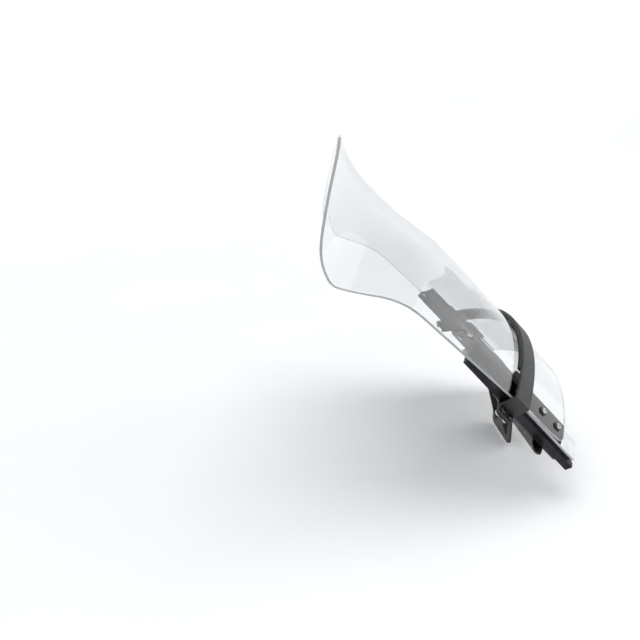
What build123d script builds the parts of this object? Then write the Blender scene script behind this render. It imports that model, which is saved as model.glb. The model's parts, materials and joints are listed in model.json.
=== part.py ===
"""Height-adjustable touring windscreen for a motorcycle: the clear sheet, the two slide rails that
carry it, their locks, the trim round the sheet's foot and the stay that bolts to the fairing.

Millimetres. +Z is up, -Y is the way the motorcycle faces and +X is the rider's left. The origin is
the centre of the four bolt holes, on the front face of the stay's mounting plate.

The screen slides along one line, up and rearwards. Every section of the foot of the sheet square to
that line is the same parabola, so the sheet slides within itself. A place is given by its x, by its
station along the slide and by its height out of the slide plane. Each rail has a frame of its own,
tangent to the sheet: across it, out of the sheet, and along the slide."""

from build123d import *
import os
from math import atan, cos, radians, sin, sqrt

os.makedirs("parts", exist_ok=True)

# ---- Driving dimensions ---------------------------------------------------------------------

# Slide
slide_angle = 46.2  # degrees above level
travel = 100.0
stop_gap = 0.3  # between a carrier's end and its rubber stop
running_gap = 0.4  # round the glide strips
face_gap = 0.3  # between faces of bodies that slide past each other

# Clear sheet: station, height of the crown and bow of the parabola (1/mm), from the foot up
sheet_thickness = 4.0
blank_half_width = 345.0
foot_crown = 45.0
foot_bow = 1.26e-3
straight_top = -300.0
sheet_sections = (
    (straight_top, foot_crown, foot_bow),
    (-265.0, 44.7, 1.257e-3),
    (-238.0, 43.9, 1.252e-3),
    (-205.0, 39.0, 1.245e-3),
    (-170.0, 32.2, 1.225e-3),
    (-137.0, 27.4, 1.195e-3),
    (-107.0, 25.4, 1.15e-3),
    (-79.0, 24.7, 1.03e-3),
    (-52.0, 25.8, 0.76e-3),
    (-28.0, 29.7, 0.48e-3),
    (-6.0, 35.5, 0.22e-3),
    (14.0, 42.3, 0.05e-3),
    (36.0, 51.2, 0.0),
)

# Outline of the sheet, half of it: x and station of each corner, and its radius
top_rise = 16.0
top_corner, top_radius = (312.0, 8.0), 26.0
wing_corner, wing_radius = (331.0, -117.0), 28.0
shoulder, shoulder_radius = (277.0, -200.0), 120.0
foot_corner, foot_radius = (240.0, -553.0), 12.0

# Fasteners: shank radius, head radius and head height, then nut size across flats and height
stop_screw_radius, stop_head_radius, stop_head_height = 2.0, 3.5, 2.2
guide_screw_radius, guide_head_radius, guide_head_height = 1.5, 2.6, 1.7
screw_radius, screw_head_radius, screw_head_height = 2.5, 4.75, 3.0
screw_nut_flats, screw_nut_height = 8.0, 4.7
rail_bolt_radius, rail_bolt_head_radius, rail_bolt_head_height = 3.0, 5.25, 3.3
rail_nut_flats, rail_nut_height = 10.0, 5.0
screw_tip = 1.0  # of a shank past its nut
socket_share, socket_depth_share, dome_share = 0.5, 0.6, 0.6  # of the head's radius and height
hole_clearance = 0.3  # on the radius of a plain screw hole

# Screws through the sheet
screw_count = 3
screw_pitch = 35.0
screw_middle = -500.0
screw_edge_distance = 17.0  # from the foot's corner
sheet_hole_radius = 5.0
sleeve_clearance = 0.2
washer_radius, washer_thickness = 7.5, 1.5

# Carrier, pad and glide strips, on the sheet's inner side
pad_thickness = 2.0
carrier_length = 130.0
carrier_top = -458.0
carrier_width, carrier_plate = 40.0, 4.0
web_inner, web_outer = 12.0, 15.0
foot_outer, foot_thickness = 22.0, 3.0
carrier_height = 15.5
strip_wall = 1.6

# Rail
rail_wall = 3.0
lip_inner = 16.5
lip_thickness = 2.5
stop_length = 6.7
rail_bolt_stations = (-560.0, -480.0)
stop_screw_bite = 4.0
flange_corner_radius = 5.0

# Lock, on the rail's inner side
lock_station = -473.0
lever_throw = 90.0  # degrees
shoe_throw = 1.6
shoe_width, shoe_height = 14.0, 5.1
shoe_head_width, shoe_head_height, shoe_head_thickness = 20.0, 8.7, 3.5
guide_thickness, guide_width, guide_height = 5.0, 34.0, 9.5
guide_corner_radius, guide_screw_bite = 3.0, 7.0
guide_screw_spread = 26.0
spring_space, spring_leaf, spring_end, spring_clearance = 2.5, 0.5, 2.0, 0.2
cam_radius, cam_back, cam_thickness = 10.0, 8.2, 6.0
cam_back_angle = 130.0
cam_gap = 0.2
shaft_radius, shaft_head_radius, shaft_head_height = 4.0, 6.0, 2.0
shaft_running_gap = 0.05
bush_radius = 6.0
lever_hub_radius, lever_thickness = 11.0, 8.0
lever_length, lever_root_width, lever_tip_width = 72.0, 15.0, 12.0
grip_length, grip_wall = 36.0, 1.6
lever_chamfer, grip_rounding = 1.5, 2.5
lock_flange_depth, lock_flange_length = 37.0, 46.0

# Trim over the foot of the sheet
garnish_top = -433.0
garnish_depth = 30.0
garnish_gap, garnish_wall = 6.5, 3.0
garnish_nose = 2.5  # rounding of its upper edge
garnish_edge_gap = 4.0  # beside the sheet's edge
garnish_foot = 15.0
garnish_screw_pitch = 16.0
garnish_washer_radius, garnish_washer_thickness = 6.0, 1.0
seal_half_width, seal_width, seal_height = 195.0, 5.0, 3.0

# Stay
tube_radius, tube_wall = 12.5, 2.0
tube_station, tube_drop = -530.0, 44.0
tab_thickness, tab_width, tab_length = 5.0, 48.0, 112.0
plate_width, plate_height, plate_thickness = 112.0, 102.0, 5.0
bolt_spacing_x, bolt_spacing_z, bolt_hole_radius = 80.0, 50.0, 3.3
plate_below_origin = 41.0
weld_sink = 0.5
gusset_spacing, gusset_thickness = 66.0, 4.0
gusset_foot = 33.0  # below the origin
gusset_reach, gusset_rise = 8.75, 7.5  # on the tube, rearwards of and below its centre
tab_corner_radius, plate_corner_radius = 8.0, 10.0

# ---- Frames ---------------------------------------------------------------------------------

rightwards = Vector(1, 0, 0)
along = Vector(0, cos(radians(slide_angle)), sin(radians(slide_angle)))
outward = Vector(0, -along.Z, along.Y)

rail_x = foot_corner[0] - screw_edge_distance
rail_height = foot_crown - foot_bow * rail_x**2
rail_tilt = atan(2 * foot_bow * rail_x)
across = rightwards * cos(rail_tilt) - outward * sin(rail_tilt)
normal = rightwards * sin(rail_tilt) + outward * cos(rail_tilt)

tube_height = rail_height - tube_drop * cos(rail_tilt)
tube_centre = Vector(
    0,
    plate_thickness + tube_radius - weld_sink,
    plate_height - plate_below_origin - tube_radius + weld_sink,
)
slide_zero = tube_centre - along * tube_station - outward * tube_height


def slide_plane(station):
    """Plane square to the slide on the centre line: x, then out of the sheet. It extrudes down."""
    return Plane(slide_zero + along * station, x_dir=rightwards, z_dir=-along)


def rail_point(station, sideways=0.0, level=0.0):
    """Place in the left rail's frame, whose zero is on the sheet's outer face."""
    seat = slide_zero + along * station + rightwards * rail_x + outward * rail_height
    return seat + across * sideways + normal * level


def rail_plane(station):
    """Plane square to the slide at the left rail: across, then out of the sheet. It extrudes down."""
    return Plane(rail_point(station), x_dir=across, z_dir=-along)


def seat_plane(station, sideways=0.0, level=0.0):
    """Plane parallel to the sheet at the left rail: across, then up the slide. It extrudes outward."""
    return Plane(rail_point(station, sideways, level), x_dir=across, z_dir=normal)


near_zero = 0.01  # for picking edges by where they lie


def level_of(place):
    """Height of a place out of the sheet, in the left rail's frame."""
    return (place - rail_point(0)).dot(normal)


# ---- Levels in the rail's frame, outward from the sheet's outer face ------------------------

plate_top = -sheet_thickness - pad_thickness
plate_under = plate_top - carrier_plate
foot_under = plate_top - carrier_height
foot_top = foot_under + foot_thickness
strip_under = foot_under - strip_wall
strip_top = foot_top + strip_wall
strip_outer = foot_outer + strip_wall
floor_top = strip_under - running_gap
floor_under = floor_top - rail_wall
lip_under = strip_top + running_gap
lip_top = lip_under + lip_thickness
channel_half = strip_outer + running_gap
rail_half = channel_half + rail_wall
nut_seat = floor_under - tab_thickness
screw_end = plate_under - screw_nut_height - screw_tip
rail_bolt_end = nut_seat - rail_nut_height - screw_tip
garnish_screw_end = floor_under - screw_nut_height - screw_tip
washer_level = floor_top + garnish_wall
garnish_head_level = washer_level + garnish_washer_thickness
lever_top = floor_under - face_gap
lever_under = lever_top - lever_thickness
cam_under = floor_top + face_gap
cam_top = cam_under + cam_thickness

# Places along the slide and across the rail that follow from the sizes above
carrier_bottom = carrier_top - carrier_length
rail_bottom = carrier_bottom - stop_gap - stop_length
rail_top = carrier_top + travel + stop_gap + stop_length
shoe_tip = -strip_outer - face_gap
guide_back = -rail_half - guide_thickness
head_front = guide_back - spring_space
head_back = head_front - shoe_head_thickness
lever_axis = head_back - cam_gap - cam_radius
foot_taper = (shoulder[0] - foot_corner[0]) / (shoulder[1] - foot_corner[1])
sheet_edge_x = foot_corner[0] + foot_taper * (garnish_top - foot_corner[1])
leg_inner = (sheet_edge_x - rail_x) / cos(rail_tilt) + garnish_edge_gap
leg_outer = leg_inner + garnish_wall
garnish_flange = leg_outer + garnish_foot
garnish_screw_across = leg_outer + garnish_foot / 2
garnish_middle = garnish_top - garnish_depth / 2
skin_level = garnish_gap - foot_bow * cos(rail_tilt) ** 3 * leg_outer**2
garnish_half_width = rail_x + leg_outer * cos(rail_tilt) + skin_level * sin(rail_tilt)


# ---- Shared shapes --------------------------------------------------------------------------


def arch(bow, crown):
    """Cross-section line of the sheet: a parabola, as a Bezier curve with three poles."""
    drop = bow * blank_half_width**2
    left, right = (-blank_half_width, crown - drop), (blank_half_width, crown - drop)
    return Bezier(left, (0, crown + drop), right)


def offset_bow(bow, distance):
    """Bow of the parabola that runs at one distance outside another."""
    spread = sqrt(1 + (2 * bow * blank_half_width) ** 2) - 1
    return bow - distance * spread / blank_half_width**2


def band(crown, bow, low, high):
    """Flat face between two offsets of one cross-section, in the local frame of a slide plane."""
    with BuildSketch() as strip:
        with BuildLine():
            upper = arch(offset_bow(bow, high), crown + high)
            lower = arch(offset_bow(bow, low), crown + low)
            Line(upper @ 0, lower @ 0)
            Line(upper @ 1, lower @ 1)
        make_face()
    return strip.sketch


def foot_band(half_width, low, high):
    """The same for the straight foot of the sheet, cut to a half width."""
    with BuildSketch() as strip:
        add(band(foot_crown, foot_bow, low, high))
        Rectangle(2 * half_width, 2 * blank_half_width, mode=Mode.INTERSECT)
    return strip.sketch


def block(left, right, low, high, mode=Mode.ADD):
    """Rectangle between two places across the rail and two levels, for use inside a BuildSketch."""
    with Locations(((left + right) / 2, (low + high) / 2)):
        Rectangle(right - left, high - low, mode=mode)


def screw_rods(radius, low, high):
    """Rods on the axes of the screws through the sheet, on both sides."""
    with BuildPart() as rods:
        with BuildSketch(seat_plane(screw_middle, level=low)):
            with GridLocations(0, screw_pitch, 1, screw_count):
                Circle(radius)
        extrude(amount=high - low)
        mirror(about=Plane.YZ)
    return rods.part


def rail_rods(stations, radius, low, high, sideways=0.0):
    """Rods square to the left rail's floor."""
    with BuildPart() as rods:
        for station in stations:
            with BuildSketch(seat_plane(station, sideways, low)):
                Circle(radius)
            extrude(amount=high - low)
    return rods.part


def hex_nuts(stations, across_flats, bore, low, high, sideways=0.0):
    """Hexagon nuts square to the left rail's floor."""
    with BuildPart() as nuts:
        for station in stations:
            with BuildSketch(seat_plane(station, sideways, low)):
                RegularPolygon(across_flats / 2, 6, major_radius=False)
                Circle(bore, mode=Mode.SUBTRACT)
            extrude(amount=high - low)
    return nuts.part


def socket_screws(stations, radius, head_radius, head_height, seat, tip, sideways=0.0):
    """Domed socket screws, the heads on the far side of their seat from the tip."""
    upwards = 1 if tip < seat else -1
    face = seat + upwards * head_height
    with BuildPart() as screws:
        for station in stations:
            with BuildSketch(seat_plane(station, sideways, seat)):
                Circle(head_radius)
            extrude(amount=upwards * head_height)
        rims = screws.edges().filter_by(GeomType.CIRCLE)
        outer_rims = [rim for rim in rims if abs(level_of(rim.arc_center) - face) < near_zero]
        fillet(outer_rims, dome_share * head_height)
        for station in stations:
            with BuildSketch(seat_plane(station, sideways, face)):
                RegularPolygon(socket_share * head_radius, 6, major_radius=False)
            extrude(amount=-upwards * socket_depth_share * head_height, mode=Mode.SUBTRACT)
        add(rail_rods(stations, radius, min(seat, tip), max(seat, tip), sideways))
    return screws.part


screw_stations = [screw_middle + (i - (screw_count - 1) / 2) * screw_pitch for i in range(screw_count)]
stop_stations = (rail_bottom + stop_length / 2, rail_top - stop_length / 2)
guide_screw_stations = (lock_station - guide_screw_spread / 2, lock_station + guide_screw_spread / 2)
guide_screw_across = -rail_half - guide_thickness / 2
garnish_screw_stations = (
    garnish_middle - garnish_screw_pitch / 2,
    garnish_middle + garnish_screw_pitch / 2,
)

# ---- Sheet and what slides with it ----------------------------------------------------------

with BuildPart() as windscreen:
    for section_station, section_crown, section_bow in sheet_sections:
        with BuildSketch(slide_plane(section_station)):
            add(band(section_crown, section_bow, -sheet_thickness, 0))
    loft()
    with BuildSketch(slide_plane(straight_top)):
        add(band(foot_crown, foot_bow, -sheet_thickness, 0))
    extrude(amount=straight_top - foot_corner[1])
    with BuildSketch(Plane(slide_zero, x_dir=rightwards, z_dir=outward)) as outline:
        with BuildLine():
            ThreePointArc((-top_corner[0], top_corner[1]), (0, top_rise), top_corner)
            Polyline(top_corner, wing_corner, shoulder, foot_corner, (-foot_corner[0], foot_corner[1]))
            Polyline(
                (-foot_corner[0], foot_corner[1]),
                (-shoulder[0], shoulder[1]),
                (-wing_corner[0], wing_corner[1]),
                (-top_corner[0], top_corner[1]),
            )
        make_face()
        for corner, radius in (
            (top_corner, top_radius),
            (wing_corner, wing_radius),
            (shoulder, shoulder_radius),
            (foot_corner, foot_radius),
        ):
            here = [
                v
                for v in outline.vertices()
                if abs(abs(v.X) - corner[0]) + abs(v.Y - corner[1]) < near_zero
            ]
            fillet(here, radius)
    extrude(amount=blank_half_width, both=True, mode=Mode.INTERSECT)
    add(screw_rods(sheet_hole_radius, -2 * sheet_thickness, sheet_thickness), mode=Mode.SUBTRACT)

with BuildPart() as foot_blank:
    with BuildSketch(slide_plane(carrier_top)):
        add(band(foot_crown, foot_bow, -sheet_thickness, 0))
    extrude(amount=carrier_length)

with BuildPart() as screen_pad:
    with BuildSketch(rail_plane(carrier_top)):
        block(-carrier_width / 2, carrier_width / 2, plate_top, -sheet_thickness / 2)
    extrude(amount=carrier_top - foot_corner[1])
    add(foot_blank.part, mode=Mode.SUBTRACT)
    add(rail_rods(screw_stations, screw_radius + hole_clearance, plate_top, 0), mode=Mode.SUBTRACT)

with BuildPart() as carrier:
    with BuildSketch(rail_plane(carrier_top)):
        block(-carrier_width / 2, carrier_width / 2, plate_under, plate_top)
        for near, far in ((web_inner, web_outer), (-web_outer, -web_inner)):
            block(near, far, foot_under, plate_under)
        for near, far in ((web_outer, foot_outer), (-foot_outer, -web_outer)):
            block(near, far, foot_under, foot_top)
    extrude(amount=carrier_length)
    add(
        rail_rods(screw_stations, screw_radius + hole_clearance, plate_under, plate_top),
        mode=Mode.SUBTRACT,
    )

with BuildPart() as glide_strips:
    with BuildSketch(rail_plane(carrier_top)):
        for near, far in ((web_outer, strip_outer), (-strip_outer, -web_outer)):
            block(near, far, strip_under, strip_top)
            block(max(near, -foot_outer), min(far, foot_outer), foot_under, foot_top, mode=Mode.SUBTRACT)
    extrude(amount=carrier_length)

with BuildPart() as screen_screws:
    add(
        socket_screws(
            screw_stations, screw_radius, screw_head_radius, screw_head_height, washer_thickness, screw_end
        )
    )
    mirror(about=Plane.YZ)

with BuildPart() as screen_washers:
    add(screw_rods(washer_radius, 0, washer_thickness))
    add(screw_rods(screw_radius + hole_clearance, 0, washer_thickness), mode=Mode.SUBTRACT)

with BuildPart() as screen_sleeves:
    sleeve_radius = sheet_hole_radius - sleeve_clearance
    add(screw_rods(sleeve_radius, sleeve_clearance - sheet_thickness, -sleeve_clearance))
    add(screw_rods(screw_radius, -sheet_thickness, 0), mode=Mode.SUBTRACT)

with BuildPart() as screen_nuts:
    add(
        hex_nuts(screw_stations, screw_nut_flats, screw_radius, plate_under - screw_nut_height, plate_under)
    )
    mirror(about=Plane.YZ)

# ---- Rails ----------------------------------------------------------------------------------

with BuildPart() as rail:
    with BuildSketch(rail_plane(rail_top)):
        block(-rail_half, rail_half, floor_under, lip_top)
        block(-channel_half, channel_half, floor_top, lip_under, mode=Mode.SUBTRACT)
        block(-lip_inner, lip_inner, lip_under, lip_top, mode=Mode.SUBTRACT)
    extrude(amount=rail_top - rail_bottom)
    with BuildSketch(seat_plane(garnish_middle, 0, floor_under)):
        with Locations(((rail_half + garnish_flange) / 2, 0)):
            Rectangle(garnish_flange - rail_half, garnish_depth)
        with Locations((-(rail_half + lock_flange_depth / 2), lock_station - garnish_middle)):
            Rectangle(lock_flange_depth, lock_flange_length)
    extrude(amount=rail_wall)
    flange_corners = [
        edge
        for edge in edges().filter_by(lambda e: abs(e.length - rail_wall) < near_zero)
        if abs((edge.center() - rail_point(0)).dot(across)) > rail_half + flange_corner_radius
    ]
    fillet(flange_corners, flange_corner_radius)
    with BuildSketch(rail_plane(lock_station + shoe_width / 2 + face_gap)):
        block(-rail_half, -channel_half, floor_top, floor_top + shoe_height + 2 * face_gap)
    extrude(amount=shoe_width + 2 * face_gap, mode=Mode.SUBTRACT)
    for hole_stations, hole_radius, hole_across in (
        (rail_bolt_stations, rail_bolt_radius + hole_clearance, 0),
        (stop_stations, stop_screw_radius + hole_clearance, 0),
        ((lock_station,), bush_radius, lever_axis),
        (guide_screw_stations, guide_screw_radius + hole_clearance, guide_screw_across),
        (garnish_screw_stations, screw_radius + hole_clearance, garnish_screw_across),
    ):
        add(
            rail_rods(hole_stations, hole_radius, floor_under, floor_top, hole_across),
            mode=Mode.SUBTRACT,
        )

with BuildPart() as rail_bolts:
    add(
        socket_screws(
            rail_bolt_stations,
            rail_bolt_radius,
            rail_bolt_head_radius,
            rail_bolt_head_height,
            floor_top,
            rail_bolt_end,
        )
    )
    mirror(about=Plane.YZ)

with BuildPart() as rail_nuts:
    add(
        hex_nuts(
            rail_bolt_stations, rail_nut_flats, rail_bolt_radius, nut_seat - rail_nut_height, nut_seat
        )
    )
    mirror(about=Plane.YZ)

with BuildPart() as bump_stops:
    for stop_station in stop_stations:
        with BuildSketch(rail_plane(stop_station + stop_length / 2)):
            block(-channel_half, channel_half, floor_top, lip_under)
        extrude(amount=stop_length)
    add(
        rail_rods(stop_stations, stop_screw_radius, floor_top, floor_top + stop_screw_bite),
        mode=Mode.SUBTRACT,
    )

with BuildPart() as stop_screws:
    add(
        socket_screws(
            stop_stations,
            stop_screw_radius,
            stop_head_radius,
            stop_head_height,
            floor_under,
            floor_top + stop_screw_bite,
        )
    )
    mirror(about=Plane.YZ)

# ---- Lock: shoe, guide, spring, cam, shaft, bush and lever -----------------------------------

with BuildPart() as clamp_shoe:
    shoe_low = floor_top + face_gap
    with BuildSketch(rail_plane(lock_station + shoe_width / 2)):
        block(head_front, shoe_tip, shoe_low, shoe_low + shoe_height)
    extrude(amount=shoe_width)
    with BuildSketch(rail_plane(lock_station + shoe_head_width / 2)):
        block(head_back, head_front, shoe_low, shoe_low + shoe_head_height)
    extrude(amount=shoe_head_width)

with BuildPart() as clamp_guide:
    with BuildSketch(rail_plane(lock_station + guide_width / 2)):
        block(guide_back, -rail_half, floor_top, floor_top + guide_height)
    extrude(amount=guide_width)
    guide_corners = edges().filter_by(lambda e: abs(e.length - guide_thickness) < near_zero)
    fillet(guide_corners.sort_by(lambda e: level_of(e.center()))[-2:], guide_corner_radius)
    with BuildSketch(rail_plane(lock_station + shoe_width / 2 + face_gap)):
        block(guide_back, -rail_half, floor_top, floor_top + shoe_height + 2 * face_gap)
    extrude(amount=shoe_width + 2 * face_gap, mode=Mode.SUBTRACT)
    add(
        rail_rods(
            guide_screw_stations,
            guide_screw_radius,
            floor_top,
            floor_top + guide_screw_bite,
            guide_screw_across,
        ),
        mode=Mode.SUBTRACT,
    )

with BuildPart() as guide_screws:
    add(
        socket_screws(
            guide_screw_stations,
            guide_screw_radius,
            guide_head_radius,
            guide_head_height,
            floor_under,
            floor_top + guide_screw_bite,
            guide_screw_across,
        )
    )
    mirror(about=Plane.YZ)

with BuildPart() as clamp_spring:
    spring_half = shoe_head_width / 2
    spring_crest = head_front + spring_clearance
    spring_root = spring_half - spring_end
    with BuildSketch(seat_plane(lock_station, 0, shoe_low)):
        with BuildLine():
            outer = ThreePointArc(
                (guide_back, spring_half), (spring_crest, 0), (guide_back, -spring_half)
            )
            inner = ThreePointArc(
                (guide_back, spring_root), (spring_crest + spring_leaf, 0), (guide_back, -spring_root)
            )
            Line(outer @ 0, inner @ 0)
            Line(outer @ 1, inner @ 1)
        make_face()
    extrude(amount=shoe_head_height)
    with BuildSketch(rail_plane(lock_station + shoe_width / 2 + face_gap)):
        block(head_front, guide_back, shoe_low, shoe_low + shoe_height + face_gap)
    extrude(amount=shoe_width + 2 * face_gap, mode=Mode.SUBTRACT)


def cam_spot(angle):
    """Point on the cam's spiral, which falls away at the shoe as the lever opens."""
    reach = cam_radius + shoe_throw * angle / lever_throw
    return reach * cos(radians(angle)), reach * sin(radians(angle))


with BuildPart() as lock_cam:
    with BuildSketch(seat_plane(lock_station, lever_axis, cam_under)):
        with BuildLine():
            flank = Spline([cam_spot(angle) for angle in range(-100, 1, 20)])
            back = (cam_back * cos(radians(cam_back_angle)), cam_back * sin(radians(cam_back_angle)))
            ThreePointArc(flank @ 1, back, flank @ 0)
        make_face()
        Circle(shaft_radius, mode=Mode.SUBTRACT)
    extrude(amount=cam_thickness)

with BuildPart() as lever_shaft:
    with BuildSketch(seat_plane(lock_station, lever_axis, cam_top)):
        Circle(shaft_head_radius)
    extrude(amount=shaft_head_height)
    with BuildSketch(seat_plane(lock_station, lever_axis, cam_top)):
        Circle(shaft_radius)
    extrude(amount=-(cam_top - lever_under + rail_nut_height + screw_tip))

with BuildPart() as lever_bush:
    add(rail_rods((lock_station,), bush_radius, floor_under, floor_top, lever_axis))
    bush_bore = shaft_radius + shaft_running_gap
    add(rail_rods((lock_station,), bush_bore, floor_under, floor_top, lever_axis), mode=Mode.SUBTRACT)

with BuildPart() as lock_lever:
    with BuildSketch(seat_plane(lock_station, lever_axis, lever_under)):
        with BuildLine():
            Polyline(
                (-lever_root_width / 2, 0),
                (-lever_tip_width / 2, lever_length),
                (lever_tip_width / 2, lever_length),
                (lever_root_width / 2, 0),
                close=True,
            )
        make_face()
        Circle(lever_hub_radius)
        with Locations((0, lever_length)):
            Circle(lever_tip_width / 2)
    extrude(amount=lever_thickness)
    chamfer(faces().sort_by(lambda f: level_of(f.center()))[0].outer_wire().edges(), lever_chamfer)
    add(rail_rods((lock_station,), shaft_radius, lever_under, lever_top, lever_axis), mode=Mode.SUBTRACT)

with BuildPart() as lever_grip:
    grip_start = lever_length - grip_length + lever_tip_width / 2 + grip_wall
    with BuildSketch(seat_plane(lock_station, lever_axis, lever_under - grip_wall)):
        with BuildLine():
            Polyline(
                (-lever_root_width / 2 - grip_wall, 0),
                (-lever_tip_width / 2 - grip_wall, lever_length),
                (lever_tip_width / 2 + grip_wall, lever_length),
                (lever_root_width / 2 + grip_wall, 0),
                close=True,
            )
        make_face()
        with Locations((0, lever_length)):
            Circle(lever_tip_width / 2 + grip_wall)
        with Locations((0, grip_start - lever_length)):
            Rectangle(2 * lever_length, 2 * lever_length, mode=Mode.SUBTRACT)
    extrude(amount=lever_thickness + grip_wall)
    fillet(faces().sort_by(lambda f: level_of(f.center()))[0].outer_wire().edges(), grip_rounding)
    add(lock_lever.part, mode=Mode.SUBTRACT)

with BuildPart() as lever_nut:
    nut_end = lever_under - rail_nut_height
    add(hex_nuts((lock_station,), rail_nut_flats, shaft_radius, nut_end, lever_under, lever_axis))

# ---- Trim over the sheet's foot --------------------------------------------------------------

with BuildPart() as garnish_legs:
    with BuildSketch(rail_plane(garnish_top)):
        block(leg_inner, leg_outer, floor_top, skin_level + garnish_wall / 2)
        block(leg_inner, garnish_flange, floor_top, washer_level)
    extrude(amount=garnish_depth)
    add(
        rail_rods(
            garnish_screw_stations,
            screw_radius + hole_clearance,
            floor_top,
            washer_level,
            garnish_screw_across,
        ),
        mode=Mode.SUBTRACT,
    )

with BuildPart() as garnish:
    with BuildSketch(slide_plane(garnish_top)):
        add(foot_band(garnish_half_width, garnish_gap, garnish_gap + garnish_wall))
    extrude(amount=garnish_depth)
    with BuildSketch(slide_plane(garnish_top)):
        add(foot_band(seal_half_width, seal_height, garnish_gap + garnish_wall / 2))
    extrude(amount=garnish_wall)
    nose = edges().sort_by(lambda e: (e.center() - slide_zero).dot(along + outward))[-1]
    fillet(nose, garnish_nose)
    add(garnish_legs.part)
    mirror(garnish_legs.part, about=Plane.YZ)

with BuildPart() as garnish_seal:
    with BuildSketch(slide_plane(garnish_top)):
        add(foot_band(seal_half_width, face_gap, seal_height))
    extrude(amount=seal_width)

with BuildPart() as garnish_washers:
    for washer_edge, washer_mode in ((garnish_washer_radius, Mode.ADD), (screw_radius, Mode.SUBTRACT)):
        add(
            rail_rods(
                garnish_screw_stations, washer_edge, washer_level, garnish_head_level, garnish_screw_across
            ),
            mode=washer_mode,
        )
    mirror(about=Plane.YZ)

with BuildPart() as garnish_screws:
    add(
        socket_screws(
            garnish_screw_stations,
            screw_radius,
            screw_head_radius,
            screw_head_height,
            garnish_head_level,
            garnish_screw_end,
            garnish_screw_across,
        )
    )
    mirror(about=Plane.YZ)

with BuildPart() as garnish_nuts:
    add(
        hex_nuts(
            garnish_screw_stations,
            screw_nut_flats,
            screw_radius,
            floor_under - screw_nut_height,
            floor_under,
            garnish_screw_across,
        )
    )
    mirror(about=Plane.YZ)

# ---- Stay -----------------------------------------------------------------------------------

with BuildPart() as stay_half:
    with BuildSketch(Plane(tube_centre, x_dir=(0, 1, 0), z_dir=(1, 0, 0))):
        Circle(tube_radius)
        Circle(tube_radius - tube_wall, mode=Mode.SUBTRACT)
    extrude(amount=rail_x + 2 * tube_radius)
    split(bisect_by=seat_plane(tube_station, 0, nut_seat + tab_thickness / 2), keep=Keep.BOTTOM)
    tab_middle = sum(rail_bolt_stations) / 2
    with BuildSketch(seat_plane(tab_middle, 0, nut_seat)):
        RectangleRounded(tab_width, tab_length, tab_corner_radius)
    extrude(amount=tab_thickness)
    add(
        rail_rods(rail_bolt_stations, rail_bolt_radius + hole_clearance, nut_seat, floor_under),
        mode=Mode.SUBTRACT,
    )

with BuildPart() as screen_stay:
    add(stay_half.part)
    mirror(stay_half.part, about=Plane.YZ)
    with BuildSketch(Plane.XZ.offset(-plate_thickness)):
        with Locations((0, plate_height / 2 - plate_below_origin)):
            RectangleRounded(plate_width, plate_height, plate_corner_radius)
        with GridLocations(bolt_spacing_x, bolt_spacing_z, 2, 2):
            Circle(bolt_hole_radius, mode=Mode.SUBTRACT)
    extrude(amount=plate_thickness)
    for gusset_x in (-gusset_spacing / 2, gusset_spacing / 2):
        with BuildSketch(Plane.YZ.offset(gusset_x - gusset_thickness / 2)):
            with BuildLine():
                Polyline(
                    (plate_thickness - weld_sink, -gusset_foot),
                    (tube_centre.Y + gusset_reach, tube_centre.Z - gusset_rise),
                    (plate_thickness - weld_sink, tube_centre.Z - gusset_rise),
                    close=True,
                )
            make_face()
        extrude(amount=gusset_thickness)

# ---- Finished pieces ------------------------------------------------------------------------

single_pieces = {
    "windscreen": windscreen,
    "screen_screws": screen_screws,
    "screen_washers": screen_washers,
    "screen_sleeves": screen_sleeves,
    "screen_nuts": screen_nuts,
    "rail_bolts": rail_bolts,
    "rail_nuts": rail_nuts,
    "stop_screws": stop_screws,
    "guide_screws": guide_screws,
    "garnish": garnish,
    "garnish_seal": garnish_seal,
    "garnish_screws": garnish_screws,
    "garnish_washers": garnish_washers,
    "garnish_nuts": garnish_nuts,
    "screen_stay": screen_stay,
}
sided_pieces = {
    "carrier": carrier,
    "screen_pad": screen_pad,
    "glide_strips": glide_strips,
    "rail": rail,
    "bump_stops": bump_stops,
    "clamp_shoe": clamp_shoe,
    "clamp_guide": clamp_guide,
    "clamp_spring": clamp_spring,
    "lock_cam": lock_cam,
    "lever_shaft": lever_shaft,
    "lever_bush": lever_bush,
    "lock_lever": lock_lever,
    "lever_grip": lever_grip,
    "lever_nut": lever_nut,
}

for label, piece in single_pieces.items():
    piece.part.label = label
    export_step(piece.part, f"parts/{label}.step")

for name, piece in sided_pieces.items():
    with BuildPart() as mirrored:
        mirror(piece.part, about=Plane.YZ)
    for side, sided in (("left", piece), ("right", mirrored)):
        sided.part.label = f"{name}_{side}"
        export_step(sided.part, f"parts/{name}_{side}.step")
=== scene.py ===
"""Looks of the adjustable touring windscreen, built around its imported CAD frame. Metres."""

import json
import math

import bpy
import numpy as np
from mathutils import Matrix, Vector
from mathutils.geometry import delaunay_2d_cdt


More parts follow.
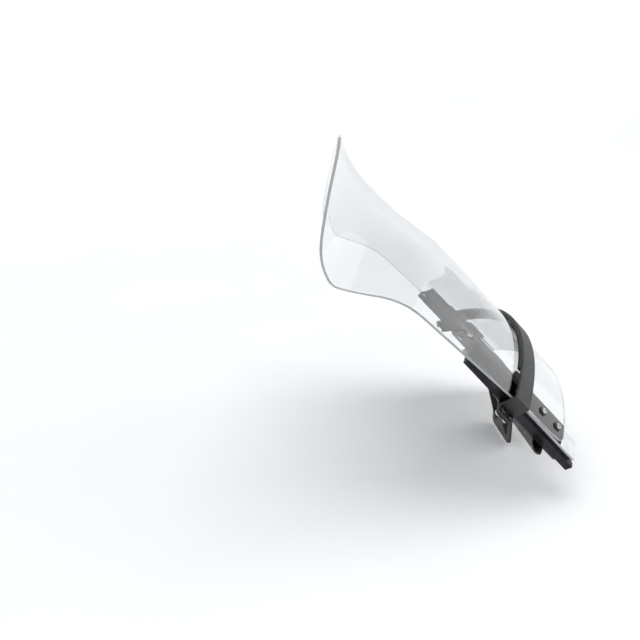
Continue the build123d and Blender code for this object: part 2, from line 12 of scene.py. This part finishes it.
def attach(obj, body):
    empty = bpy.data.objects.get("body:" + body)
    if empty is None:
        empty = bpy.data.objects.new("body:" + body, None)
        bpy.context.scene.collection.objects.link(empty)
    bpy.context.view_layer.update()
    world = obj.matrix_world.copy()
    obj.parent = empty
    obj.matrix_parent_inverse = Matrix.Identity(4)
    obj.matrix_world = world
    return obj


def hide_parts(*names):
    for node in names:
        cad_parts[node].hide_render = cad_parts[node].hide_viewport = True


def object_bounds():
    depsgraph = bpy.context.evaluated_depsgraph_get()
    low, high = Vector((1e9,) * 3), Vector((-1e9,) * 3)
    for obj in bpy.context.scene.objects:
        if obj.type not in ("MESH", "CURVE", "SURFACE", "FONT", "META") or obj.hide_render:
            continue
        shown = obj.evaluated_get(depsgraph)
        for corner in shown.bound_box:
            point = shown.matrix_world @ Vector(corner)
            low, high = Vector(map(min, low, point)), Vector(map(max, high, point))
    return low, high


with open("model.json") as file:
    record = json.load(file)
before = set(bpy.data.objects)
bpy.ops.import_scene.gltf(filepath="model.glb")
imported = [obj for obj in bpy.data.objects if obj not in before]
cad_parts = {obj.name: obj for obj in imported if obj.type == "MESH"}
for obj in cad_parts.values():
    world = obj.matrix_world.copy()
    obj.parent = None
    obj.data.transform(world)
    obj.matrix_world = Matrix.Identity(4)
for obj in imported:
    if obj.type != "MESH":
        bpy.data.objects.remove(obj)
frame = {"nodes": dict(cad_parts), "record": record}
cad_low, cad_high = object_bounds()
nodes = frame["nodes"]
scene = bpy.context.scene

# ---- The sheet's shape, in mm: the same driving sizes as the CAD ------------------------------

SLIDE_ANGLE = math.radians(46.2)
SLIDE_ZERO = np.array([0.0, 343.405, 470.305])
ALONG = np.array([0.0, math.cos(SLIDE_ANGLE), math.sin(SLIDE_ANGLE)])
OUTWARD = np.array([0.0, -math.sin(SLIDE_ANGLE), math.cos(SLIDE_ANGLE)])
THICKNESS = 4.0
RAIL_X = 223.0
# Each section's station along the slide, height of its crown, and bow in 1/mm
SECTIONS = np.array([
    (-300.0, 45.0, 1.26e-3),
    (-265.0, 44.7, 1.257e-3),
    (-238.0, 43.9, 1.252e-3),
    (-205.0, 39.0, 1.245e-3),
    (-170.0, 32.2, 1.225e-3),
    (-137.0, 27.4, 1.195e-3),
    (-107.0, 25.4, 1.15e-3),
    (-79.0, 24.7, 1.03e-3),
    (-52.0, 25.8, 0.76e-3),
    (-28.0, 29.7, 0.48e-3),
    (-6.0, 35.5, 0.22e-3),
    (14.0, 42.3, 0.05e-3),
    (36.0, 51.2, 0.0),
])
TOP_RISE, TOP_CORNER, TOP_RADIUS = 16.0, (312.0, 8.0), 26.0
WING, SHOULDER, FOOT = ((331.0, -117.0), 28.0), ((277.0, -200.0), 120.0), ((240.0, -553.0), 12.0)
SCREW_STATIONS, SCREW_HOLE = (-535.0, -500.0, -465.0), 5.0

# Mesh fineness, in mm unless it is a count
LONG_STEP, CORNER_STEP, FOOT_STEP, CLOSEST = 3.0, 1.5, 1.2, 0.2
GRID_PITCH, GRID_START, RIM_MARGIN, HOLE_MARGIN = 8.0, 5.0, 3.5, 3.0
EDGE_ROUND, EDGE_STEPS, HOLE_STEPS = 1.3, 5, 28
SLOPE_STEP = 0.5


class Spline:
    """Cubic through given points, level at its first one, and straight on before it."""

    def __init__(self, at, values):
        gap = np.diff(at)
        slope = np.diff(values) / gap
        size = len(at)
        left, right = np.eye(size), np.zeros(size)
        for i in range(1, size - 1):
            left[i, i - 1 : i + 2] = gap[i], 2 * (gap[i - 1] + gap[i]), gap[i - 1]
            right[i] = 3 * (gap[i] * slope[i - 1] + gap[i - 1] * slope[i])
        left[-1, -2:] = 1, 2
        right[-1] = 3 * slope[-1]
        self.at, self.values, self.gap, self.lean = at, values, gap, np.linalg.solve(left, right)

    def __call__(self, place):
        i = np.clip(np.searchsorted(self.at, place, side="right") - 1, 0, len(self.gap) - 1)
        h = self.gap[i]
        t = (np.maximum(place, self.at[0]) - self.at[i]) / h
        a, b, u, v = self.values[i], self.values[i + 1], self.lean[i] * h, self.lean[i + 1] * h
        return a + t * (u + t * (3 * (b - a) - 2 * u - v + t * (2 * (a - b) + u + v)))


crown_at = Spline(SECTIONS[:, 0], SECTIONS[:, 1])
bow_at = Spline(SECTIONS[:, 0], SECTIONS[:, 2])


def height(x, station):
    """Height of the sheet's outer face over the slide's own plane."""
    return crown_at(station) - bow_at(station) * x * x


def sheet(x, station, level=0.0):
    """Places at a level over the sheet's outer face, and the face's normals there. Arrays, mm."""
    x, station = np.asarray(x, float), np.asarray(station, float)
    step = SLOPE_STEP
    rise_x = (height(x + step, station) - height(x - step, station)) / (2 * step)
    rise_s = (height(x, station + step) - height(x, station - step)) / (2 * step)
    normal = OUTWARD - rise_s[:, None] * ALONG - rise_x[:, None] * np.array([1.0, 0, 0])
    normal /= np.linalg.norm(normal, axis=1)[:, None]
    across = np.stack([x, 0 * x, 0 * x], 1)
    place = SLIDE_ZERO + across + station[:, None] * ALONG + height(x, station)[:, None] * OUTWARD
    return place + level * normal, normal


def rounded(before, corner, after, radius, step):
    """Points of the arc that rounds a corner of a polyline."""
    before, corner, after = (np.array(p, float) for p in (before, corner, after))
    a, b = (before - corner), (after - corner)
    a, b = a / np.linalg.norm(a), b / np.linalg.norm(b)
    half = math.acos(float(np.clip(a @ b, -1, 1))) / 2
    centre = corner + (a + b) / np.linalg.norm(a + b) * radius / math.sin(half)
    start, end = corner + a * radius / math.tan(half), corner + b * radius / math.tan(half)
    return arc(centre, start, end, step)


def arc(centre, start, end, step):
    """Points round a centre from a start to an end, the short way."""
    first = math.atan2(*(start - centre)[::-1])
    turn = (math.atan2(*(end - centre)[::-1]) - first + math.pi) % (2 * math.pi) - math.pi
    radius = np.linalg.norm(start - centre)
    count = max(2, int(abs(turn) * radius / step) + 1)
    angles = first + turn * np.linspace(0, 1, count)
    return centre + radius * np.stack([np.cos(angles), np.sin(angles)], 1)


def outline():
    """Closed outline of the sheet, anticlockwise from the middle of the foot: x and station."""
    big = (TOP_CORNER[0] ** 2 + (TOP_RISE - TOP_CORNER[1]) ** 2) / (2 * (TOP_RISE - TOP_CORNER[1]))
    middle = np.array([0.0, TOP_RISE - big])
    side = np.array(TOP_CORNER) - np.array(WING[0])
    side /= np.linalg.norm(side)
    base = np.array(WING[0]) + TOP_RADIUS * np.array([-side[1], side[0]]) - middle
    reach = -base @ side + math.sqrt((base @ side) ** 2 - base @ base + (big - TOP_RADIUS) ** 2)
    centre = middle + base + reach * side
    on_side = np.array(WING[0]) + reach * side
    on_top = middle + (centre - middle) * big / (big - TOP_RADIUS)
    half = [np.array([[0.0, FOOT[0][1]]])]
    half.append(rounded((0, FOOT[0][1]), FOOT[0], SHOULDER[0], FOOT[1], FOOT_STEP))
    half.append(rounded(FOOT[0], SHOULDER[0], WING[0], SHOULDER[1], LONG_STEP))
    half.append(rounded(SHOULDER[0], WING[0], TOP_CORNER, WING[1], CORNER_STEP))
    half.append(arc(centre, on_side, on_top, CORNER_STEP))
    half.append(arc(middle, on_top, np.array([0.0, TOP_RISE]), LONG_STEP))
    path = np.concatenate(half)
    dense = [path[:1]]
    for a, b in zip(path[:-1], path[1:]):
        count = int(np.linalg.norm(b - a) // LONG_STEP) + 1
        dense.append(a + (b - a) * (np.arange(1, count + 1) / count)[:, None])
    right = np.concatenate(dense)
    keep = np.r_[True, np.linalg.norm(np.diff(right, axis=0), axis=1) > CLOSEST]
    right = right[keep]
    left = right[1:-1][::-1] * np.array([-1, 1])
    return np.concatenate([right, left])


def inside(points, loop):
    """Which points lie in a closed loop, by counting the loop's crossings beside each."""
    x, y = points[:, 0], points[:, 1]
    hit = np.zeros(len(points), bool)
    for (ax, ay), (bx, by) in zip(loop, np.roll(loop, -1, 0)):
        if ay != by:
            crosses = ((ay > y) != (by > y)) & (x < (bx - ax) * (y - ay) / (by - ay) + ax)
            hit ^= crosses
    return hit


def gap_to(points, loop):
    """Each point's distance from a closed loop."""
    least = np.full(len(points), np.inf)
    for a, b in zip(loop, np.roll(loop, -1, 0)):
        d = b - a
        t = np.clip((points - a) @ d / (d @ d), 0, 1)
        least = np.minimum(least, np.linalg.norm(points - a - t[:, None] * d, axis=1))
    return least


def new_piece(name, vertices, faces, normals, marks, materials, body, stands_for):
    """A mesh object from mm, with a normal for each face's corners and a material for each face."""
    mesh = bpy.data.meshes.new(name)
    mesh.from_pydata([tuple(v / 1000) for v in vertices], [], faces)
    for material in materials:
        mesh.materials.append(material)
    mesh.polygons.foreach_set("material_index", marks)
    mesh.polygons.foreach_set("use_smooth", [True] * len(faces))
    mesh.normals_split_custom_set([tuple(n) for face in normals for n in face])
    mesh.update()
    piece = bpy.data.objects.new(name, mesh)
    scene.collection.objects.link(piece)
    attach(piece, body)
    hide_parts(*stands_for)


# ---- Materials ------------------------------------------------------------------------------


class Look:
    """A procedural material: a Principled shader with a few textures on it."""

    def __init__(self, name, colour, roughness, metallic=0.0, **sockets):
        self.material = bpy.data.materials.new(name)
        self.material.use_nodes = True
        self.tree = self.material.node_tree
        self.shader = self.tree.nodes["Principled BSDF"]
        self.shader.inputs["Base Color"].default_value = (*colour, 1)
        self.shader.inputs["Roughness"].default_value = roughness
        self.shader.inputs["Metallic"].default_value = metallic
        for key, value in sockets.items():
            self.shader.inputs[key.replace("_", " ")].default_value = value
        self.bumps = None
        coordinates = self.tree.nodes.new("ShaderNodeTexCoord")
        self.place = coordinates.outputs["Object"]

    def add(self, kind, **values):
        node = self.tree.nodes.new(kind)
        for key, value in values.items():
            if hasattr(node, key):
                setattr(node, key, value)
            else:
                node.inputs[key.replace("_", " ")].default_value = value
        return node

    def join(self, a, b):
        self.tree.links.new(a, b)

    def stretched(self, scale):
        node = self.add("ShaderNodeMapping")
        node.inputs["Scale"].default_value = scale
        self.join(self.place, node.inputs["Vector"])
        return node.outputs["Vector"]

    def noise(self, scale, detail=3.0, place=None, rough=0.5):
        node = self.add("ShaderNodeTexNoise", Scale=scale, Detail=detail, Roughness=rough)
        self.join(place or self.place, node.inputs["Vector"])
        return node.outputs["Fac"]

    def cells(self, scale, place=None):
        node = self.add("ShaderNodeTexVoronoi", Scale=scale)
        self.join(place or self.place, node.inputs["Vector"])
        return node.outputs["Distance"]

    def spread(self, source, low, high, low_at=0.3, high_at=0.7):
        node = self.add("ShaderNodeMapRange")
        limits = {"From Min": low_at, "From Max": high_at, "To Min": low, "To Max": high}
        for key, value in limits.items():
            node.inputs[key].default_value = value
        self.join(source, node.inputs["Value"])
        return node.outputs["Result"]

    def vary_roughness(self, source, low, high, low_at=0.3, high_at=0.7):
        self.join(self.spread(source, low, high, low_at, high_at), self.shader.inputs["Roughness"])
        return self

    def vary_colour(self, source, dark, light, low_at=0.3, high_at=0.7):
        mix = self.add("ShaderNodeMix", data_type="RGBA")
        mix.inputs[6].default_value = (*dark, 1)
        mix.inputs[7].default_value = (*light, 1)
        self.join(self.spread(source, 0.0, 1.0, low_at, high_at), mix.inputs[0])
        self.join(mix.outputs[2], self.shader.inputs["Base Color"])
        return self

    def bump(self, source, depth, strength=1.0):
        node = self.add("ShaderNodeBump", Strength=strength, Distance=depth)
        self.join(source, node.inputs["Height"])
        if self.bumps:
            self.join(self.bumps, node.inputs["Normal"])
        self.bumps = node.outputs["Normal"]
        self.join(self.bumps, self.shader.inputs["Normal"])
        return self


def clear_look():
    """Hard-coated polycarbonate: almost colourless, with the faint waviness of a drawn sheet."""
    look = Look("clear_polycarbonate", (0.86, 0.866, 0.87), 0.0, IOR=1.585)
    look.shader.inputs["Transmission Weight"].default_value = 1.0
    look.vary_roughness(look.noise(9.0, 5.0), 0.0, 0.035, 0.42, 0.75)
    look.vary_colour(look.noise(4.0, 2.0), (0.855, 0.862, 0.866), (0.872, 0.877, 0.88))
    waves = look.noise(7.0, 1.0, look.stretched((1.0, 0.45, 0.45)))
    return look.bump(waves, 0.0006, 0.25)


def edge_look():
    """The sheet's own edge, sawn and flame polished, with a colour darker than the faces' as
    painted shade for the dark line the edge shows.
    """
    # Its colour, darker than the faces', is painted shade for the dark line along the edge.
    look = Look("polished_edge_painted_shade", (0.74, 0.76, 0.77), 0.12, IOR=1.585)
    look.shader.inputs["Transmission Weight"].default_value = 0.6
    look.vary_roughness(look.noise(160.0, 3.0), 0.06, 0.26)
    look.vary_colour(look.noise(60.0, 2.0), (0.80, 0.82, 0.83), (0.90, 0.915, 0.92))
    return look.bump(look.noise(420.0, 2.0), 0.00008, 0.4)


def moulded_look(name, dark, light, rough, grain=1500.0, depth=0.00006):
    look = Look(name, dark, rough)
    look.vary_colour(look.noise(35.0, 4.0), dark, light)
    look.vary_roughness(look.noise(300.0, 3.0), rough - 0.07, rough + 0.1)
    look.bump(look.cells(grain), depth, 0.55)
    return look.bump(look.noise(grain * 0.35, 4.0), depth * 0.8, 0.35)


def rubber_look():
    look = Look("black_rubber_finish", (0.02, 0.02, 0.021), 0.72)
    dark, light = (0.010, 0.010, 0.0105), (0.026, 0.026, 0.0265)
    look.vary_colour(look.noise(55.0, 6.0), dark, light, 0.35, 0.8)
    look.vary_roughness(look.noise(220.0, 3.0), 0.62, 0.86)
    look.bump(look.noise(900.0, 4.0), 0.00006, 0.45)
    return look


def grip_look():
    """Rubber sleeve with moulded ribs across it."""
    look = rubber_look()
    look.material.name = "ribbed_rubber"
    ribs = look.add("ShaderNodeTexWave", bands_direction="Z", Scale=95.0, Distortion=0.0)
    look.join(look.place, ribs.inputs["Vector"])
    return look.bump(ribs.outputs["Fac"], 0.0006, 0.5)


def metal_look(name, dark, light, low, high, drawn=None, depth=0.00002):
    """Metal with slight stains, and a grain that runs one way if it was drawn or rolled."""
    look = Look(name, light, low, 1.0)
    look.vary_colour(look.noise(45.0, 5.0), dark, light, 0.3, 0.65)
    if drawn:
        grain = look.noise(1.0, 6.0, look.stretched(drawn))
        look.vary_roughness(grain, low, high)
        return look.bump(grain, depth, 0.5)
    look.vary_roughness(look.noise(180.0, 5.0), low, high)
    return look.bump(look.noise(700.0, 3.0), depth, 0.4)


def painted_look(name, dark, light, low, high, peel=420.0, depth=0.00007):
    look = Look(name, dark, low)
    look.shader.inputs["Coat Weight"].default_value = 0.25
    look.shader.inputs["Coat Roughness"].default_value = 0.28
    look.vary_colour(look.noise(28.0, 5.0), dark, light)
    look.vary_roughness(look.noise(120.0, 4.0), low, high)
    look.bump(look.noise(peel, 2.0), depth, 0.5)
    return look.bump(look.cells(peel * 3.2), depth * 0.3, 0.3)


ACROSS_GRAIN, ALONG_GRAIN = 900.0, 70.0
DRAWN = (ACROSS_GRAIN, ALONG_GRAIN, ALONG_GRAIN)
ROLLED = (60.0, ACROSS_GRAIN, ACROSS_GRAIN)
looks = {
    "garnish_plastic": moulded_look(
        "grained_plastic", (0.017, 0.017, 0.018), (0.027, 0.027, 0.028), 0.52
    ),
    "black_rubber": rubber_look(),
    "black_nylon": moulded_look(
        "black_nylon_finish", (0.018, 0.018, 0.019), (0.03, 0.03, 0.031), 0.46, 2200, 3e-5
    ),
    "natural_nylon": moulded_look(
        "natural_nylon_finish", (0.60, 0.58, 0.50), (0.74, 0.72, 0.65), 0.42, 1800, 3e-5
    ),
    "zinc_steel": metal_look("zinc_plate", (0.46, 0.47, 0.47), (0.70, 0.70, 0.68), 0.22, 0.42),
    "black_steel": metal_look(
        "black_zinc_plate", (0.035, 0.035, 0.038), (0.09, 0.09, 0.095), 0.30, 0.48
    ),
    "spring_steel": metal_look(
        "blued_spring", (0.16, 0.17, 0.21), (0.36, 0.36, 0.38), 0.24, 0.40, ROLLED
    ),
    "bronze": metal_look(
        "sintered_bronze", (0.36, 0.22, 0.10), (0.60, 0.42, 0.22), 0.30, 0.55, None, 6e-5
    ),
    "anodised_aluminium": metal_look(
        "clear_anodised", (0.52, 0.53, 0.55), (0.66, 0.67, 0.69), 0.30, 0.44, DRAWN
    ),
    "black_aluminium": metal_look(
        "black_anodised", (0.022, 0.022, 0.025), (0.05, 0.05, 0.054), 0.34, 0.5, DRAWN
    ),
    "stay_paint": painted_look(
        "black_powder_coat", (0.016, 0.016, 0.018), (0.03, 0.03, 0.032), 0.42, 0.6
    ),
    "lever_paint": painted_look(
        "black_lever_paint", (0.02, 0.02, 0.023), (0.035, 0.035, 0.039), 0.3, 0.46, 600.0, 4e-5
    ),
}
grip = grip_look()
for subpart in frame["record"]["subparts"]:
    if subpart["material_slot"] not in looks:
        continue
    held = nodes[subpart["node"]]
    held.data.materials.clear()
    look = grip if subpart["node"].startswith("lever_grip") else looks[subpart["material_slot"]]
    held.data.materials.append(look.material)

# ---- The clear sheet ------------------------------------------------------------------------


def hole_rings():
    """The six screw holes in the plan. Across the sheet they are shortened by its lean there."""
    lean = math.atan(2 * SECTIONS[0, 2] * RAIL_X)
    around = np.linspace(0, 2 * math.pi, HOLE_STEPS, endpoint=False)
    ring = SCREW_HOLE * np.stack([np.cos(around) * math.cos(lean), np.sin(around)], 1)
    places = [(side * RAIL_X, station) for side in (-1, 1) for station in SCREW_STATIONS]
    return [ring + np.array(place) for place in places]


def plan(loop, rim, holes):
    """The face's points in the plan, x and station, and its triangles, with the holes left open."""
    low, high = loop.min(0), loop.max(0)
    reach = math.floor(high[0] / GRID_PITCH)
    columns = np.arange(-reach, reach + 1) * GRID_PITCH
    stations = np.arange(low[1] + GRID_START, high[1], GRID_PITCH)
    grid = np.array([(x, y) for y in stations for x in columns])
    grid = grid[inside(grid, rim)]
    grid = grid[gap_to(grid, rim) > RIM_MARGIN]
    for ring in holes:
        grid = grid[np.linalg.norm(grid - ring.mean(0), axis=1) > SCREW_HOLE + HOLE_MARGIN]
    flat = np.concatenate([rim, *holes, grid])
    edges, start = [], 0
    for ring in (rim, *holes):
        edges += [(start + i, start + (i + 1) % len(ring)) for i in range(len(ring))]
        start += len(ring)
    found = delaunay_2d_cdt([Vector(p) for p in flat], edges, [], 0, 1e-6)
    names = [ids[0] for ids in found[3]]
    triangles = np.array([[names[i] for i in face] for face in found[2]])
    middles = flat[triangles].mean(1)
    keep = inside(middles, rim)
    for ring in holes:
        keep &= ~inside(middles, ring)
    triangles = triangles[keep]
    a, b, c = (flat[triangles[:, i]] for i in range(3))
    clockwise = np.cross(b - a, c - a) < 0
    triangles[clockwise] = triangles[clockwise][:, ::-1]
    return flat, triangles


def rounded_rim(loop):
    """Rows of points and normals round the sheet's edge, from its outer face to its inner one."""
    place, normal = sheet(loop[:, 0], loop[:, 1])
    tangent = np.roll(place, -1, 0) - np.roll(place, 1, 0)
    tangent /= np.linalg.norm(tangent, axis=1)[:, None]
    inward = np.cross(normal, tangent)
    turns = np.linspace(0, math.pi / 2, EDGE_STEPS)
    profile = [(EDGE_ROUND * (1 - math.sin(a)), EDGE_ROUND * (1 - math.cos(a)), a) for a in turns]
    profile += [(u, THICKNESS - v, math.pi - a) for u, v, a in profile[::-1]]
    rows = [place + u * inward - v * normal for u, v, a in profile]
    return rows, [math.cos(a) * normal - math.sin(a) * inward for u, v, a in profile]


def clear_sheet():
    """The sheet with its rounded edge and its screw holes, in place of the CAD one."""
    loop = outline()
    rows, row_normals = rounded_rim(loop)
    count, deep = len(rows[0]), len(rows)
    rim = np.stack([rows[0][:, 0], (rows[0] - SLIDE_ZERO) @ ALONG], 1)
    holes = hole_rings()
    flat, triangles = plan(loop, rim, holes)

    outer, outer_normals = sheet(flat[:, 0], flat[:, 1])
    outer[:count] = rows[0]
    inner = outer - THICKNESS * outer_normals
    inner[:count] = rows[-1]
    total = len(flat)
    vertices = [*outer, *inner]
    faces, normals, marks = [], [], []
    for tri in triangles:
        faces.append([int(i) for i in tri])
        normals.append([outer_normals[i] for i in tri])
        faces.append([int(i) + total for i in tri[::-1]])
        normals.append([-outer_normals[i] for i in tri[::-1]])
        marks += [0, 0]
    index = [list(range(count))]
    for k in range(1, deep - 1):
        index.append(list(range(len(vertices), len(vertices) + count)))
        vertices += list(rows[k])
    index.append([total + i for i in range(count)])
    for k in range(deep - 1):
        for i in range(count):
            j = (i + 1) % count
            round_face = ((k, j), (k, i), (k + 1, i), (k + 1, j))
            faces.append([index[row][at] for row, at in round_face])
            normals.append([row_normals[row][at] for row, at in round_face])
            marks.append(1)
    start = count
    for ring in holes:
        size = len(ring)
        middle = outer[start : start + size].mean(0)
        for i in range(size):
            p, q = start + i, start + (i + 1) % size
            towards = [middle - outer[p], middle - outer[q]]
            towards = [v / np.linalg.norm(v) for v in towards]
            faces.append([p, q, q + total, p + total])
            normals.append([towards[0], towards[1], towards[1], towards[0]])
            marks.append(1)
        start += size
    # The rim and the holes' walls take the edge material, whose darker colour is painted shade.
    materials = [clear_look().material, edge_look().material]
    new_piece(
        "clear_sheet", vertices, faces, normals, marks, materials,
        "screen_carriage", ["windscreen"],
    )


clear_sheet()

# ---- Camera ---------------------------------------------------------------------------------

CAMERA_PLACE = Vector((-1.100, 0.3434, 0.4703))
CAMERA_YAW, CAMERA_PITCH = math.radians(0.636), math.radians(14.609)
LENS, SENSOR = 34.3125, 36.0

camera_data = bpy.data.cameras.new("camera")
camera_data.lens, camera_data.sensor_width = LENS, SENSOR
camera = bpy.data.objects.new("camera", camera_data)
scene.collection.objects.link(camera)
level = math.cos(CAMERA_PITCH)
look_along = Vector(
    (math.cos(CAMERA_YAW) * level, math.sin(CAMERA_YAW) * level, -math.sin(CAMERA_PITCH))
)
camera.location = CAMERA_PLACE
camera.rotation_mode = "QUATERNION"
camera.rotation_quaternion = look_along.to_track_quat("-Z", "Y")
scene.camera = camera

# ---- Studio: a pale round cove, soft light from above and from the front ----------------------

FLOOR_DROP = 0.004
COVE_FLAT, COVE_BEND, COVE_TOP = 3.2, 2.2, 5.0
COVE_SIDES, COVE_TURN = 96, 6  # faces round it, and degrees from ring to ring in its bend
COVE_GLOW = (0.05, 0.27)  # near the object and at the wall
COVE_GLOW_AT = (0.7, 3.6)  # distances from the middle that those two belong to
PALE = (0.98, 0.99, 1.0, 1)
COVE_FADE = (2.2, 3.9)  # heights between which the wall fades to a plain grey
SKY_GLOW = 0.55
PANEL_GLOW = 1.55
PANEL_AHEAD = 2.4
PANEL_SIDES, PANEL_HEIGHTS = (-0.2, 1.65), (0.05, 2.15)


def cove():
    """A round floor that bends up into a wall, with a faint glow that grows outward."""
    floor_z = cad_low[2] - FLOOR_DROP
    middle = (cad_low[1] + cad_high[1]) / 2
    bends = [math.radians(a) for a in range(0, 91, COVE_TURN)]
    profile = [(0.0, 0.0), (COVE_FLAT * 0.5, 0.0)]
    for a in bends:
        profile.append((COVE_FLAT + COVE_BEND * math.sin(a), COVE_BEND * (1 - math.cos(a))))
    profile.append((COVE_FLAT + COVE_BEND, COVE_TOP))
    count = COVE_SIDES
    vertices = [(0.0, middle, floor_z)]
    for radius, rise in profile[1:]:
        for i in range(count):
            a = 2 * math.pi * i / count
            vertices.append((radius * math.cos(a), middle + radius * math.sin(a), floor_z + rise))
    faces = [(0, 1 + i, 1 + (i + 1) % count) for i in range(count)]
    for k in range(len(profile) - 2):
        for i in range(count):
            j = (i + 1) % count
            a, b = 1 + k * count, 1 + (k + 1) * count
            faces.append((a + i, b + i, b + j, a + j))
    mesh = bpy.data.meshes.new("studio_cove")
    mesh.from_pydata(vertices, [], faces)
    mesh.polygons.foreach_set("use_smooth", [True] * len(faces))
    look = Look("pale_cove", (0.88, 0.885, 0.89), 0.85)
    look.vary_colour(look.noise(1.5, 3.0), (0.86, 0.866, 0.87), (0.90, 0.905, 0.91))
    flat = look.add("ShaderNodeVectorMath", operation="LENGTH")
    look.join(look.stretched((1.0, 1.0, 0.0)), flat.inputs[0])
    glow = look.add("ShaderNodeMath", operation="MULTIPLY")
    look.join(look.spread(flat.outputs["Value"], *COVE_GLOW, *COVE_GLOW_AT), glow.inputs[0])
    rise = look.add("ShaderNodeSeparateXYZ")
    look.join(look.place, rise.inputs["Vector"])
    look.join(look.spread(rise.outputs["Z"], 1.0, 0.0, *COVE_FADE), glow.inputs[1])
    look.join(glow.outputs["Value"], look.shader.inputs["Emission Strength"])
    look.shader.inputs["Emission Color"].default_value = PALE
    mesh.materials.append(look.material)
    backdrop = bpy.data.objects.new("studio_cove", mesh)
    scene.collection.objects.link(backdrop)


def bright_field():
    """A pale panel ahead of the object that only reflections see: the bright field on the wing."""
    (left, right), (low, high) = PANEL_SIDES, PANEL_HEIGHTS
    places = ((left, low), (right, low), (right, high), (left, high))
    corners = [(x, -PANEL_AHEAD, z) for x, z in places]
    mesh = bpy.data.meshes.new("studio_panel")
    mesh.from_pydata(corners, [], [(0, 1, 2, 3)])
    look = Look("panel_glow", (0, 0, 0), 1.0)
    look.shader.inputs["Emission Color"].default_value = PALE
    glow = look.spread(look.noise(0.8, 2.0), PANEL_GLOW * 0.94, PANEL_GLOW * 1.06)
    look.join(glow, look.shader.inputs["Emission Strength"])
    mesh.materials.append(look.material)
    panel = bpy.data.objects.new("studio_panel", mesh)
    panel.visible_camera = panel.visible_diffuse = False
    panel.visible_shadow = panel.visible_transmission = False
    scene.collection.objects.link(panel)


def softbox(name, place, target, size, power):
    """A soft lamp that nothing sees directly, neither the camera nor reflections."""
    data = bpy.data.lights.new(name, "AREA")
    data.shape, data.size, data.size_y = "RECTANGLE", *size
    data.energy = power
    lamp = bpy.data.objects.new(name, data)
    lamp.location = place
    lamp.rotation_mode = "QUATERNION"
    lamp.rotation_quaternion = (Vector(target) - Vector(place)).to_track_quat("-Z", "Y")
    lamp.visible_camera = lamp.visible_glossy = lamp.visible_transmission = False
    scene.collection.objects.link(lamp)


cove()
bright_field()
softbox("overhead", (0.0, 0.1, 3.4), (0, 0.1, 0.2), (2.6, 2.6), 47)
softbox("front_key", (0.95, -2.3, 1.75), (-0.2, 0.2, 0.3), (1.5, 1.0), 12)
softbox("side_fill", (-2.3, 1.5, 1.9), (0, 0.1, 0.25), (1.6, 1.2), 10)

world = bpy.data.worlds.new("studio")
scene.world = world
world.use_nodes = True
backlight = world.node_tree.nodes["Background"]
backlight.inputs["Color"].default_value = (0.97, 0.985, 1.0, 1)
backlight.inputs["Strength"].default_value = SKY_GLOW
scene.view_settings.view_transform = "Standard"
